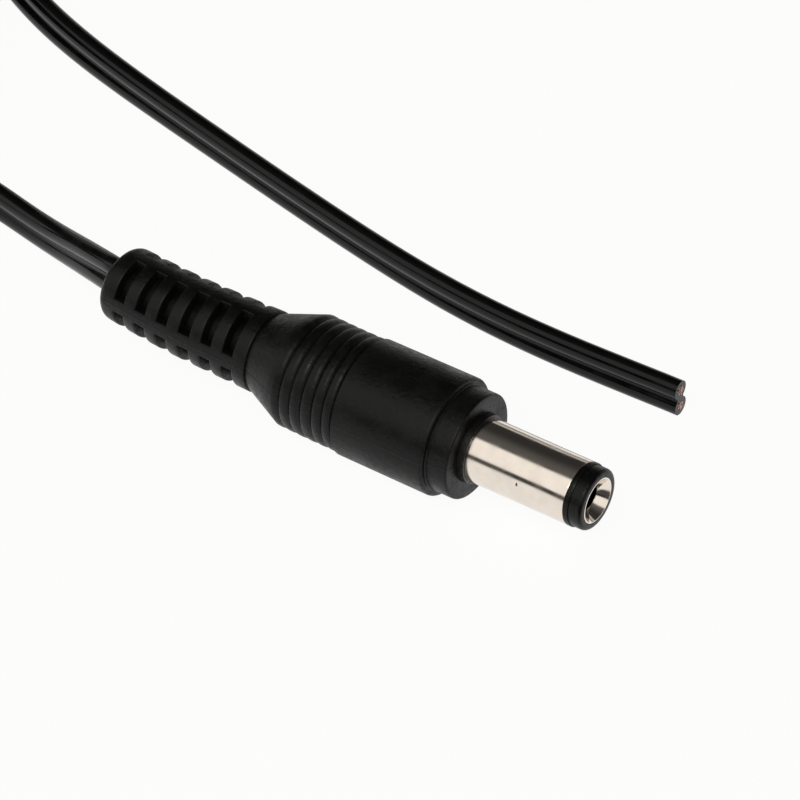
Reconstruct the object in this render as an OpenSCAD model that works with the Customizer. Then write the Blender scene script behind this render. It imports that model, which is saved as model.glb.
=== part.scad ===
// Moulded DC barrel plug, 5.5 x 2.5 mm, with a slotted strain relief and a
// figure-8 twin lead whose far end is cut off flush.
// Millimetres.  X runs along the plug towards its tip, Z is up, and the origin
// is the centre of the shoulder, the front face that meets the socket.

/* [Barrel] */
// Outer diameter of the outer contact
barrel_d = 5.5; // [5.3:0.1:6]
// Wall of the outer contact
barrel_wall = 0.4; // [0.3:0.05:0.5]
// Length of the plug from its shoulder to its tip
barrel_len = 11.5; // [9.5:0.5:14]
// Length of the barrel held inside the moulding
barrel_root = 3.2; // [2.6:0.1:4]
// Diameter of the turned-down root that the moulding grips
root_d = 5.1; // [4.9:0.05:5.4]
// Wall of that root
root_wall = 0.2; // [0.1:0.05:0.3]
// Diameter of the flange at the rear of the barrel
flange_d = 6.9; // [6.6:0.1:7.1]
// Thickness of that flange
flange_t = 0.6; // [0.4:0.1:0.8]

/* [Tip insulator] */
// Length of the black ring in front of the barrel
tip_len = 1.6; // [1.2:0.1:2.4]
// Diameter of that ring
tip_d = 5.3; // [5.1:0.1:5.4]
// Taper of that ring, as the difference of its diameters
tip_draft = 0.1; // [0.04:0.02:0.2]
// Length of the step of barrel diameter behind the ring
tip_step = 0.45; // [0.3:0.05:0.6]
// Radius of the ring's front edge
tip_edge = 0.35; // [0.1:0.05:0.5]

/* [Centre contact] */
// Bore for the socket's pin
bore_d = 2.5; // [2.1:0.1:2.6]
// Depth of that bore behind the tip
bore_depth = 9.6; // [8:0.2:10.4]
// Wall of the centre contact
contact_wall = 0.3; // [0.25:0.05:0.4]
// Diameter of its flared rim
mouth_d = 4; // [3.8:0.1:4.2]
// Depth of the flare
mouth_depth = 0.9; // [0.5:0.1:1.2]
// Land round the flared rim
mouth_land = 0.12; // [0.08:0.02:0.2]
// Length of the contact's closed end behind the washer
stub_len = 0.5; // [0.3:0.1:0.8]
// Width of the solder tail
tail_w = 1.6; // [1.2:0.1:2]
// Thickness of the solder tail
tail_t = 0.3; // [0.2:0.05:0.35]
// Length of the solder tail
tail_len = 5; // [4.2:0.1:5.4]

/* [Body] */
// Diameter of the collar that carries the shoulder
collar_d = 9.1; // [8.6:0.1:9.4]
// Length of the collar
collar_len = 2; // [1:0.1:3]
// Radius of the collar's front edge
collar_edge = 0.2; // [0.1:0.05:0.4]
// Diameter of the body at its front
body_d = 10.2; // [9.95:0.05:10.6]
// Draft of the body, as the loss of diameter at its rear
body_draft = 0.1; // [0:0.02:0.12]
// Length of the plain body
body_len = 8.9; // [7:0.1:14]
// Radius of the body's front edge
body_edge = 0.3; // [0.1:0.05:0.45]

/* [Grip rings and cone] */
// Number of grip rings
ring_count = 6; // [3:1:8]
// Distance from one grip ring to the next
ring_pitch = 0.98; // [0.8:0.02:1.2]
// Diameter over the grip rings
ring_d = 9.84; // [9.6:0.02:9.92]
// Depth of the valleys between the rings
ring_depth = 0.24; // [0.1:0.02:0.4]
// Length of the cone behind the rings
cone_len = 3.5; // [2.5:0.1:5]
// Diameter at the small end of the cone
cone_d = 6.7; // [6.4:0.1:6.9]

/* [Strain relief] */
// Length of the slotted sleeve
relief_len = 14.7; // [14.4:0.1:17]
// Diameter of the sleeve at the cone
relief_d = 7.05; // [7:0.05:7.4]
// Diameter of the sleeve at its rear end
relief_end_d = 6.4; // [6.2:0.1:6.8]
// Radius of the sleeve's rear edge
relief_edge = 0.7; // [0.3:0.1:0.8]
// Number of slot rings
slot_count = 6; // [3:1:6]
// Distance from one slot ring to the next
slot_pitch = 2.13; // [1.8:0.01:2.2]
// Width of a slot
slot_w = 1; // [0.6:0.05:1.1]
// Radius of the slots' outer lips
slot_lip = 0.15; // [0.05:0.05:0.25]
// Distance from the rear end to the middle of the first slot
slot_start = 2.2; // [1.8:0.05:2.4]
// Diameter of the core that the slots leave
slot_core_d = 4.4; // [4.2:0.1:4.8]
// Width of the four bars that run along the sleeve
slot_bar = 1.3; // [0.8:0.1:1.6]
// Sideways lean of the flexible sleeve, in degrees
relief_lean = 3.6; // [0:0.2:5]

/* [Inner moulding] */
// Diameter of the inner moulding
inner_d = 7.8; // [7.6:0.1:8.2]
// Front end of the inner moulding behind the shoulder
inner_front = 1; // [0.6:0.1:1.6]
// Length of the inner moulding
inner_len = 11; // [10.6:0.2:12]
// Diameter of its neck round the barrel
neck_d = 5.95; // [5.8:0.05:6.4]
// How far the neck stands out of the shoulder
neck_proud = 0.6; // [0.1:0.1:0.8]
// How far the jacket of the lead reaches into it
jacket_in = 1; // [0.6:0.1:1.4]

/* [Terminals] */
// Thickness of the sleeve lug
lug_t = 0.3; // [0.2:0.05:0.4]
// Width of its tongue
lug_w = 1.8; // [1.4:0.1:2]
// Length of its tongue
lug_len = 5.6; // [5:0.1:6]
// Diameter of the insulating washer
washer_d = 6; // [5:0.1:6.4]
// Thickness of the insulating washer
washer_t = 0.7; // [0.4:0.1:0.9]
// Diameter of the solder round each conductor
solder_d = 1.3; // [1.1:0.05:1.4]
// Length of the solder
solder_len = 1.8; // [1.2:0.1:2]

/* [Lead] */
// Thickness of the twin lead, which is the diameter of one core
core_d = 1.7; // [1.5:0.05:1.8]
// Distance between the centres of the two cores
core_pitch = 1.7; // [1.6:0.05:1.8]
// Thickness of the web between the cores
web_w = 0.9; // [0.6:0.1:1.2]
// Diameter of the stranded conductor
strand_d = 0.8; // [0.6:0.05:0.9]
// Length of bare conductor in the plug
strip_len = 3.6; // [3:0.1:4]
// Length of the straight piece at the cut end
end_len = 4; // [3:0.5:6]

/* [Coil] */
// Diameter of the coil at the middle of its turns
coil_mid_d = 40; // [36:0.5:40]
// Turns side by side
coil_columns = 6; // [5:1:6]
// Turns one on the other
coil_layers = 2; // [1:1:2]
// Space between neighbouring turns
coil_gap = 0.05; // [0:0.01:0.1]

/* [Fits] */
// Gap between parts that are moulded or pressed together
fit = 0.03; // [0.01:0.01:0.05]

/* [Hidden] */
$fn = 64;

// Stations along the axis, behind the shoulder at x = 0
body_front = -collar_len;
body_rear = body_front - body_len;
rings_rear = body_rear - ring_count * ring_pitch;
neck_x = rings_rear - cone_len;
relief_rear = neck_x - relief_len;
inner_rear = -inner_front - inner_len;
barrel_front = barrel_len - tip_len;
flange_front = flange_t - barrel_root;
// The barrel keeps the bore of its root for one wall past the neck
bore_front = neck_proud + barrel_wall;
lug_rear = -barrel_root - lug_t;
washer_rear = lug_rear - washer_t;
stub_rear = washer_rear - stub_len;
jacket_front = inner_rear + jacket_in;
floor_z = -body_d / 2;

// Sizes that follow from the others
barrel_bore_d = barrel_d - 2 * barrel_wall;
root_bore_d = root_d - 2 * root_wall;
contact_d = bore_d + 2 * contact_wall;
core_z = core_pitch / 2;
cable_w = core_pitch + core_d;
coil_w = coil_columns * (core_d + coil_gap);
coil_h = coil_layers * (cable_w + coil_gap);
ring_steps = 6;
lead_facet = core_d / 5;

// Middle of the sleeve's rear end, and the direction in which the lead leaves it
relief_out = [-cos(relief_lean), sin(relief_lean)];
relief_exit = [neck_x, 0] + relief_len * relief_out;

// Centre of the coil on the floor
coil_at = [-94, 18];

// Routes of the free lead on the floor.  Each point is x, y, its lift above
// where the lead lies on the floor, and the lean of its upper core in degrees
lead_route = [
    [-38.4, 2.4, 2.8, 2], [-41, 4.1, 1.8, 3], [-44, 5.8, 0.7, 5], [-47.5, 7.2, 0.1, 5],
    [-52.2, 9.1, 0, 4], [-57, 10.4, 0, 2], [-62, 9.8, 0, 0], [-66.5, 7, 0, 0],
    [-70.5, 3.2, 0, 0], [-75, -0.9, 0, 0], [-80, -4.8, 0, 0], [-85, -7.3, 0, 0], [-90, -8.5, 0, 0]];
tail_route = [
    [-90, 44.5, 3.4, 0], [-84, 43.4, 2.8, 0], [-78.5, 40.9, 1.8, 0], [-73, 37.8, 0.6, 3],
    [-67, 34.7, 0, 8], [-60.5, 32.2, 0, 15], [-54, 30.2, 0, 21], [-47.5, 28.5, 0, 25],
    [-41, 26.8, 0, 28], [-34.5, 25.2, 0, 28], [-28.4, 23.7, 0, 28], [-22.4, 22.4, 0, 27],
    [-16.8, 21.5, 0, 25], [-11.5, 21, 0, 23], [-6.5, 20.8, 0, 21], [-1.8, 20.9, 0, 19],
    [2.4, 21.1, 0, 17]];

// Points of an arc about c with radius r, from angle a to angle b
function arc(c, r, a, b, steps = 6) =
    [for (i = [0 : steps])
        let (t = a + (b - a) * i / steps)
        c + r * [cos(t), sin(t)]];

// A solid turned about the X axis from an outline of [x, radius] points
module turned(outline) {
    rotate([0, 90, 0])
        rotate_extrude()
            polygon([for (p = outline) [p[1], p[0]]]);
}

// A round bar or hole along X from x0 to x1, at height z
module bar(x0, x1, d, z = 0) {
    translate([x0, 0, z])
        rotate([0, 90, 0])
            cylinder(h = x1 - x0, d = d);
}

// Turns what belongs to the flexible sleeve about the small end of the cone
module leaned() {
    translate([neck_x, 0, 0])
        rotate([0, 0, -relief_lean])
            translate([-neck_x, 0, 0])
                children();
}

// Eight corners of the lead's plain outline, as [across, up] from its middle
function lead_corners(g = 0) =
    let (a = core_d / 2 + g, b = lead_facet + g / 2, c = cable_w / 2 + g, d = c - lead_facet - g / 2)
    [[a, d], [b, c], [-b, c], [-a, d], [-a, -d], [-b, -c], [b, -c], [a, -d]];

// The lead in its plain outline, from x0 to x1 along the plug's axis
module lead_bar(x0, x1, g = 0) {
    translate([x0, 0, 0])
        rotate([90, 0, 90])
            linear_extrude(height = x1 - x0)
                polygon(lead_corners(g));
}

// The lead inside the plug: leaned in the sleeve, then straight
module lead_in_plug(g = 0) {
    bend = core_d / 4;
    leaned()
        lead_bar(relief_rear - g, neck_x + bend, g);
    lead_bar(neck_x - bend, jacket_front + g, g);
}

// ---- Outer moulding ----

// Outline of the grip rings: a bulge each, rising straight out of the cone
function ring_outline() =
    [for (i = [0 : ring_count - 1], j = [(i == 0 ? ring_steps / 2 : 0) : ring_steps - 1])
        let (t = j / ring_steps)
        [rings_rear + (i + t) * ring_pitch, ring_d / 2 - ring_depth * pow(abs(2 * t - 1), 3)]];

module moulding_body() {
    r_front = body_d / 2;
    r_rear = r_front - body_draft / 2;
    r_valley = ring_d / 2 - ring_depth;
    // The small end of the cone runs on into the leaning sleeve
    cone_root = neck_x - slot_w / 2;
    turned(concat(
        [[cone_root, 0], [cone_root, cone_d / 2], [neck_x, cone_d / 2]],
        ring_outline(),
        [[body_rear, r_valley], [body_rear + ring_depth / 2, r_rear]],
        arc([body_front - body_edge, r_front - body_edge], body_edge, 90, 0),
        [[body_front, collar_d / 2]],
        arc([-collar_edge, collar_d / 2 - collar_edge], collar_edge, 90, 0),
        [[0, 0]]));
}

// Radius of the sleeve at station x
function relief_r(x) =
    (relief_end_d + (relief_d - relief_end_d) * (x - relief_rear) / relief_len) / 2;

module relief_sleeve() {
    r_rear = relief_r(relief_rear);
    turned(concat(
        [[relief_rear, 0]],
        arc([relief_rear + relief_edge, r_rear - relief_edge], relief_edge, 180, 90),
        [[neck_x, relief_d / 2], [neck_x, 0]]));
}

// One slot all round the sleeve, left whole at the four bars
module slot_ring(x) {
    half = slot_w / 2;
    r_lip = relief_r(x) - slot_lip;
    r_out = relief_d;
    difference() {
        turned(concat(
            [[x - half, slot_core_d / 2]],
            arc([x - half - slot_lip, r_lip], slot_lip, 0, 90, 3),
            [[x - half - slot_lip, r_out], [x + half + slot_lip, r_out]],
            arc([x + half + slot_lip, r_lip], slot_lip, 90, 180, 3),
            [[x + half, slot_core_d / 2]]));
        for (turn = [0, 90])
            rotate([turn, 0, 0])
                translate([x, 0, 0])
                    cube([slot_w + 4 * slot_lip, slot_bar, 4 * r_out], center = true);
    }
}

module overmould() {
    color("#1b1b1b")
        difference() {
            union() {
                moulding_body();
                leaned()
                    relief_sleeve();
            }
            leaned()
                for (i = [0 : slot_count - 1])
                    slot_ring(relief_rear + slot_start + i * slot_pitch);
            bar(inner_rear - fit, fit - inner_front, inner_d + 2 * fit);
            bar(-inner_front, 1, neck_d + 2 * fit);
            lead_in_plug(fit);
        }
}

// ---- Contacts and their insulators ----

module barrel() {
    color("#d9d4cc")
        difference() {
            union() {
                bar(neck_proud, barrel_front, barrel_d);
                bar(-barrel_root, neck_proud, root_d);
                bar(-barrel_root, flange_front, flange_d);
            }
            bar(bore_front, barrel_front + 1, barrel_bore_d);
            bar(-barrel_root - 1, bore_front + 2 * fit, root_bore_d);
        }
}

// Outside of the centre contact, from its closed end to its flared rim
module contact_outside(g = 0) {
    r = contact_d / 2 + g;
    r_rim = mouth_d / 2 + g;
    turned([
        [stub_rear - g, 0], [stub_rear - g, r], [barrel_len - mouth_depth, r],
        [barrel_len - mouth_land, r_rim], [barrel_len + g, r_rim], [barrel_len + g, 0]]);
}

module tip_insulator() {
    r_sleeve = barrel_bore_d / 2 - fit;
    r_root = root_bore_d / 2 - fit;
    root_front = bore_front + fit;
    ring_rear = barrel_front + fit;
    step_front = barrel_front + tip_step;
    color("#161616")
        difference() {
            turned(concat(
                [[-barrel_root, 0], [-barrel_root, r_root]],
                [[root_front, r_root], [root_front, r_sleeve]],
                [[ring_rear, r_sleeve], [ring_rear, barrel_d / 2]],
                [[step_front, barrel_d / 2], [step_front, tip_d / 2]],
                arc([barrel_len - tip_edge, (tip_d - tip_draft) / 2 - tip_edge], tip_edge, 90, 0),
                [[barrel_len, 0]]));
            contact_outside(fit);
        }
}

// The flat solder tail of the centre contact, on top of the lower conductor
module contact_tail(g = 0) {
    foot = strand_d / 2 - core_z + fit;
    translate([stub_rear - tail_len - g, -tail_w / 2 - g, foot - g])
        cube([tail_len + 2 * g, tail_w + 2 * g, tail_t + 2 * g]);
}

module centre_contact() {
    rim_r = mouth_d / 2 - mouth_land;
    color("#cfcac0")
        union() {
            difference() {
                contact_outside();
                bar(barrel_len - bore_depth, barrel_len, bore_d);
                turned([
                    [barrel_len - mouth_depth, 0], [barrel_len - mouth_depth, bore_d / 2],
                    [barrel_len, rim_r], [barrel_len + 1, rim_r], [barrel_len + 1, 0]]);
            }
            contact_tail();
        }
}

module rear_washer() {
    color("#2a2a2a")
        difference() {
            bar(washer_rear, lug_rear, washer_d);
            bar(washer_rear - 1, lug_rear + 1, contact_d + 2 * fit);
        }
}

// The tongue of the sleeve lug: over the washer, then down to the upper conductor
module lug_tongue(g = 0) {
    z_high = washer_d / 2 + fit;
    z_low = core_z + strand_d / 2 + fit;
    x_step = stub_rear - 2 * fit - lug_t;
    x_end = lug_rear - lug_len;
    translate([x_step - g, -lug_w / 2 - g, z_high - g])
        cube([lug_rear - x_step + 2 * g, lug_w + 2 * g, lug_t + 2 * g]);
    translate([x_step - g, -lug_w / 2 - g, z_low - g])
        cube([lug_t + 2 * g, lug_w + 2 * g, z_high + lug_t - z_low + 2 * g]);
    translate([x_end - g, -lug_w / 2 - g, z_low - g])
        cube([x_step + lug_t - x_end + 2 * g, lug_w + 2 * g, lug_t + 2 * g]);
}

module sleeve_lug() {
    color("#c9c3b5")
        union() {
            difference() {
                bar(lug_rear, -barrel_root, flange_d);
                bar(lug_rear - 1, 1 - barrel_root, barrel_bore_d);
            }
            lug_tongue();
        }
}

module inner_mould() {
    color("#3a3a38")
        difference() {
            union() {
                bar(inner_rear, -inner_front, inner_d);
                bar(-barrel_root, neck_proud, neck_d);
            }
            bar(-barrel_root, neck_proud + 1, root_d + 2 * fit);
            bar(lug_rear - fit, flange_front + fit, flange_d + 2 * fit);
            bar(washer_rear - fit, -barrel_root, washer_d + 2 * fit);
            bar(stub_rear - fit, -barrel_root, contact_d + 2 * fit);
            contact_tail(fit);
            lug_tongue(fit);
            lead_bar(inner_rear - 1, jacket_front + fit, fit);
            for (side = [-1, 1]) {
                conductor_bar(side, fit);
                solder_shape(side, fit);
            }
        }
}

// ---- Lead inside the plug ----

module cable_in_plug() {
    color("#141414")
        lead_in_plug();
}

// Bare end of one conductor: the upper core is side 1, the lower one side -1
module conductor_bar(side, g = 0) {
    bar(jacket_front, jacket_front + strip_len + g, strand_d + 2 * g, side * core_z);
}

module solder_shape(side, g = 0) {
    middle = jacket_front + strip_len - solder_len / 2 - solder_d / 4;
    bar(middle - solder_len / 2 - g, middle + solder_len / 2 + g, solder_d + 2 * g, side * core_z);
}

module conductor_sleeve() {
    color("#b87333")
        conductor_bar(1);
}

module conductor_centre() {
    color("#b87333")
        conductor_bar(-1);
}

module solder_sleeve() {
    color("#b9bcc0")
        difference() {
            solder_shape(1);
            conductor_bar(1);
            lug_tongue();
        }
}

module solder_centre() {
    color("#b9bcc0")
        difference() {
            solder_shape(-1);
            conductor_bar(-1);
            contact_tail();
        }
}

// ---- Free lead ----

// Height of the lead's middle where it leans by a degrees, lifted off the floor
function lead_z(lift, a) = floor_z + cable_w / 2 * cos(a) + lead_facet * sin(a) + lift;

// Middle of the lead at a point of its route
function lead_point(p) = [p[0], p[1], lead_z(p[2], p[3])];

// Flat direction of a route at its point i
function heading(route, i) =
    let (a = route[max(i - 1, 0)], b = route[min(i + 1, len(route) - 1)], d = [b[0] - a[0], b[1] - a[1]])
    d / norm(d);

// The corners placed round point i of a route, which runs towards +X
function lead_ring(route, i) =
    let (p = route[i], m = lead_point(p), h = heading(route, i), lean = p[3], side = [h[1], -h[0], 0],
        up = [side[0] * sin(lean), side[1] * sin(lean), cos(lean)],
        across = [side[0] * cos(lean), side[1] * cos(lean), -sin(lean)])
    [for (q = lead_corners()) m + q[0] * across + q[1] * up];

// A closed tube along a route that runs towards +X
module lead_tube(route) {
    rings = len(route);
    sides = len(lead_corners());
    polyhedron(
        points = [for (i = [0 : rings - 1], p = lead_ring(route, i)) p],
        faces = concat(
            [[for (j = [0 : sides - 1]) j]],
            [for (i = [0 : rings - 2], j = [0 : sides - 1])
                let (k = (j + 1) % sides)
                [i * sides + j, (i + 1) * sides + j, (i + 1) * sides + k, i * sides + k]],
            [[for (j = [sides - 1 : -1 : 0]) (rings - 1) * sides + j]]));
}

// The lead leaves the sleeve in line with it, at the height of the axis
function lead_start() =
    let (lift = -lead_z(0, 0))
    [for (along = [0, core_d])
        let (p = relief_exit + along * relief_out)
        [p[0], p[1], lift, 0]];

function backwards(route) = [for (i = [len(route) - 1 : -1 : 0]) route[i]];

module cable_lead() {
    color("#141414")
        lead_tube(backwards(concat(lead_start(), lead_route)));
}

module cable_tail() {
    color("#141414")
        lead_tube(tail_route);
}

// Section of the wound turns, whose corners are rounded as the cores are
module coil_section() {
    r = core_d / 2;
    w = coil_w / 2;
    h = coil_h / 2;
    polygon(concat(
        arc([w - r, h - r], r, 0, 90, 4), arc([r - w, h - r], r, 90, 180, 4),
        arc([r - w, r - h], r, 180, 270, 4), arc([w - r, r - h], r, 270, 360, 4)));
}

module cable_coil() {
    color("#141414")
        translate([coil_at[0], coil_at[1], floor_z + coil_h / 2])
            rotate_extrude()
                translate([coil_mid_d / 2, 0])
                    coil_section();
}

// Places children at the cut end of the lead, along its last heading
module at_end() {
    last = len(tail_route) - 1;
    p = tail_route[last];
    h = heading(tail_route, last);
    translate(lead_point(p))
        rotate([0, 0, atan2(h[1], h[0])])
            rotate([p[3], 0, 0])
                children();
}

// Cross-section of the twin lead standing on edge
module twin_section() {
    for (side = [-1, 1])
        translate([0, side * core_z])
            circle(d = core_d);
    square([web_w, core_pitch], center = true);
}

module cable_end() {
    color("#141414")
        at_end()
            difference() {
                rotate([90, 0, 90])
                    linear_extrude(height = end_len)
                        twin_section();
                for (side = [-1, 1])
                    bar(end_len / 4, end_len + 1, strand_d + 2 * fit, side * core_z);
            }
}

module end_strands(side) {
    color("#b87333")
        at_end()
            bar(end_len / 4, end_len, strand_d, side * core_z);
}

overmould();
inner_mould();
barrel();
tip_insulator();
centre_contact();
rear_washer();
sleeve_lug();
cable_in_plug();
conductor_sleeve();
conductor_centre();
solder_sleeve();
solder_centre();
cable_lead();
cable_coil();
cable_tail();
cable_end();
end_strands(1);  // strands_upper
end_strands(-1);  // strands_lower
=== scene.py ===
"""Looks of a moulded DC barrel plug on its figure-8 lead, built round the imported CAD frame.

Sizes in the classes are in millimetres, as in the part's own drawing: X runs along the plug to
its tip, Z is up, and the origin is the middle of the shoulder.  Meshes are made in metres.
"""

import logging
import math
from dataclasses import dataclass, field
from enum import Enum
from typing import Sequence

import bmesh
import bpy
from mathutils import Matrix, Vector


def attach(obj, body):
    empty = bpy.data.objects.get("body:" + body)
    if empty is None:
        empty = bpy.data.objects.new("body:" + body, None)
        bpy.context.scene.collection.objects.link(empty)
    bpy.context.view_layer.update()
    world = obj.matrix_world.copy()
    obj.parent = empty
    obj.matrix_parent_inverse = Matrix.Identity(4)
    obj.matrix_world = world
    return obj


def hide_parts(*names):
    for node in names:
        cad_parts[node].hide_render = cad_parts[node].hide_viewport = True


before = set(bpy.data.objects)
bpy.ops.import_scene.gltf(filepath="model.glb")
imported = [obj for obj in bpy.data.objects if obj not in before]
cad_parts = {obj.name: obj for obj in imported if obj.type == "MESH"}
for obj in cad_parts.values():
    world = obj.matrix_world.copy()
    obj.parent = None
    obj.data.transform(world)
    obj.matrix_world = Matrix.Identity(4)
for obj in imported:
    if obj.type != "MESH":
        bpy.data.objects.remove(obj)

LOG = logging.getLogger("barrel_plug")
MM = 0.001
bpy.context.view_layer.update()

Point = tuple[float, float]
Triple = tuple[float, float, float]
Station = tuple[float, float, float, float]


# ---- Shader building ----


class Value:
    """A shader socket that can be used in Python arithmetic."""

    def __init__(self, graph: "Graph", socket: bpy.types.NodeSocket) -> None:
        """Keep the graph that the socket belongs to."""
        self.graph = graph
        self.socket = socket

    def _math(self, operation: str, *terms: "Value | float") -> "Value":
        """Add a Math node over the given terms."""
        inputs = dict(enumerate(terms))
        return self.graph.node("ShaderNodeMath", inputs, operation=operation)

    def __add__(self, other: "Value | float") -> "Value":
        """Sum."""
        return self._math("ADD", self, other)

    __radd__ = __add__

    def __sub__(self, other: "Value | float") -> "Value":
        """Difference."""
        return self._math("SUBTRACT", self, other)

    def __rsub__(self, other: float) -> "Value":
        """Difference from a number."""
        return self._math("SUBTRACT", other, self)

    def __mul__(self, other: "Value | float") -> "Value":
        """Product."""
        return self._math("MULTIPLY", self, other)

    __rmul__ = __mul__

    def __truediv__(self, other: "Value | float") -> "Value":
        """Quotient."""
        return self._math("DIVIDE", self, other)

    def __pow__(self, other: float) -> "Value":
        """Power."""
        return self._math("POWER", self, other)

    def __abs__(self) -> "Value":
        """Size without sign."""
        return self._math("ABSOLUTE", self)

    def ramp(self, low: float, high: float, start: float = 0.0, end: float = 1.0) -> "Value":
        """Run smoothly from start at low to end at high.

        Args:
            low: where the run starts.
            high: where it ends.
            start: value at and before low.
            end: value at and after high.

        Returns:
            The eased value.
        """
        settings = {"interpolation_type": "SMOOTHSTEP"}
        inputs = {0: self, 1: low, 2: high, 3: start, 4: end}
        return self.graph.node("ShaderNodeMapRange", inputs, **settings)


class Graph:
    """The node tree of one material or world."""

    def __init__(self, owner: bpy.types.Material | bpy.types.World) -> None:
        """Empty the owner's tree and start a new one.

        Args:
            owner: the material or world.
        """
        owner.use_nodes = True
        self.tree = owner.node_tree
        self.tree.nodes.clear()

    def node(
        self,
        kind: str,
        inputs: dict[int | str, object] | None = None,
        output: int | str = 0,
        **settings: object,
    ) -> Value:
        """Add one node, set it and wire it.

        Args:
            kind: the node's type.
            inputs: values or links by socket name or number.
            output: which output to return.
            settings: the node's own settings.

        Returns:
            The chosen output.
        """
        made = self.tree.nodes.new(kind)
        for name, value in settings.items():
            setattr(made, name, value)
        for name, value in (inputs or {}).items():
            if isinstance(value, Value):
                self.tree.links.new(value.socket, made.inputs[name])
            else:
                made.inputs[name].default_value = value
        return Value(self, made.outputs[output] if len(made.outputs) else None)

    def place(self) -> Value:
        """Object coordinates, which stay with the surface."""
        return self.node("ShaderNodeTexCoord", output="Object")

    def split(self, vector: Value) -> tuple[Value, Value, Value]:
        """Part a vector into its X, Y and Z."""
        first = self.node("ShaderNodeSeparateXYZ", {0: vector})
        return tuple(Value(self, socket) for socket in first.socket.node.outputs)

    def noise(self, where: Value, scale: float, detail: float = 2.0, rough: float = 0.5) -> Value:
        """Soft noise about one half, with so many blotches per metre."""
        inputs = {"Vector": where, "Scale": scale, "Detail": detail, "Roughness": rough}
        return self.node("ShaderNodeTexNoise", inputs)

    def stretched(self, where: Value, scale: Triple) -> Value:
        """Coordinates scaled by a different amount each way."""
        return self.node("ShaderNodeMapping", {"Vector": where, "Scale": scale})

    def mix(self, factor: Value | float, first: Value | tuple, second: Value | tuple) -> Value:
        """Blend two colours.

        Args:
            factor: 0 for the first, 1 for the second.
            first: the first colour.
            second: the second colour.

        Returns:
            The blended colour.
        """
        first, second = ((*c, 1.0) if isinstance(c, tuple) else c for c in (first, second))
        factor_in, first_in, second_in, colour_out = 0, 6, 7, 2
        inputs = {factor_in: factor, first_in: first, second_in: second}
        return self.node("ShaderNodeMix", inputs, output=colour_out, data_type="RGBA")

    def bump(self, height: Value, depth: float, normal: Value | None = None) -> Value:
        """A bumped normal.

        Args:
            height: the height, from 0 to 1.
            depth: how many metres a height of 1 stands up.
            normal: a normal that is bumped already.

        Returns:
            The normal.
        """
        inputs = {"Height": height, "Distance": depth}
        if normal:
            inputs["Normal"] = normal
        return self.node("ShaderNodeBump", inputs)

    def surface(self, **inputs: object) -> None:
        """End the tree in one Principled shader.

        Args:
            inputs: its sockets, with underscores for the spaces in their names.
        """
        named = {name.replace("_", " "): value for name, value in inputs.items()}
        for name in ("Base Color", "Emission Color"):
            if isinstance(named.get(name), tuple):
                named[name] = (*named[name], 1.0)
        shader = self.node("ShaderNodeBsdfPrincipled", named)
        self.node("ShaderNodeOutputMaterial", {"Surface": shader})


# ---- Finishes ----


@dataclass(frozen=True)
class Finish:
    """A surface finish, which makes its material once."""

    name: str

    def paint(self, graph: Graph) -> None:
        """Build the shader into the graph."""
        raise NotImplementedError

    def material(self) -> bpy.types.Material:
        """The finish as a material.

        Returns:
            The material, made on first use.
        """
        found = bpy.data.materials.get(self.name)
        if found:
            return found
        made = bpy.data.materials.new(self.name)
        self.paint(Graph(made))
        return made

    def dress(self, *objects: bpy.types.Object) -> None:
        """Put this finish alone on pieces.

        Args:
            objects: the pieces.
        """
        for piece in objects:
            piece.data.materials.clear()
            piece.data.materials.append(self.material())


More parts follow.
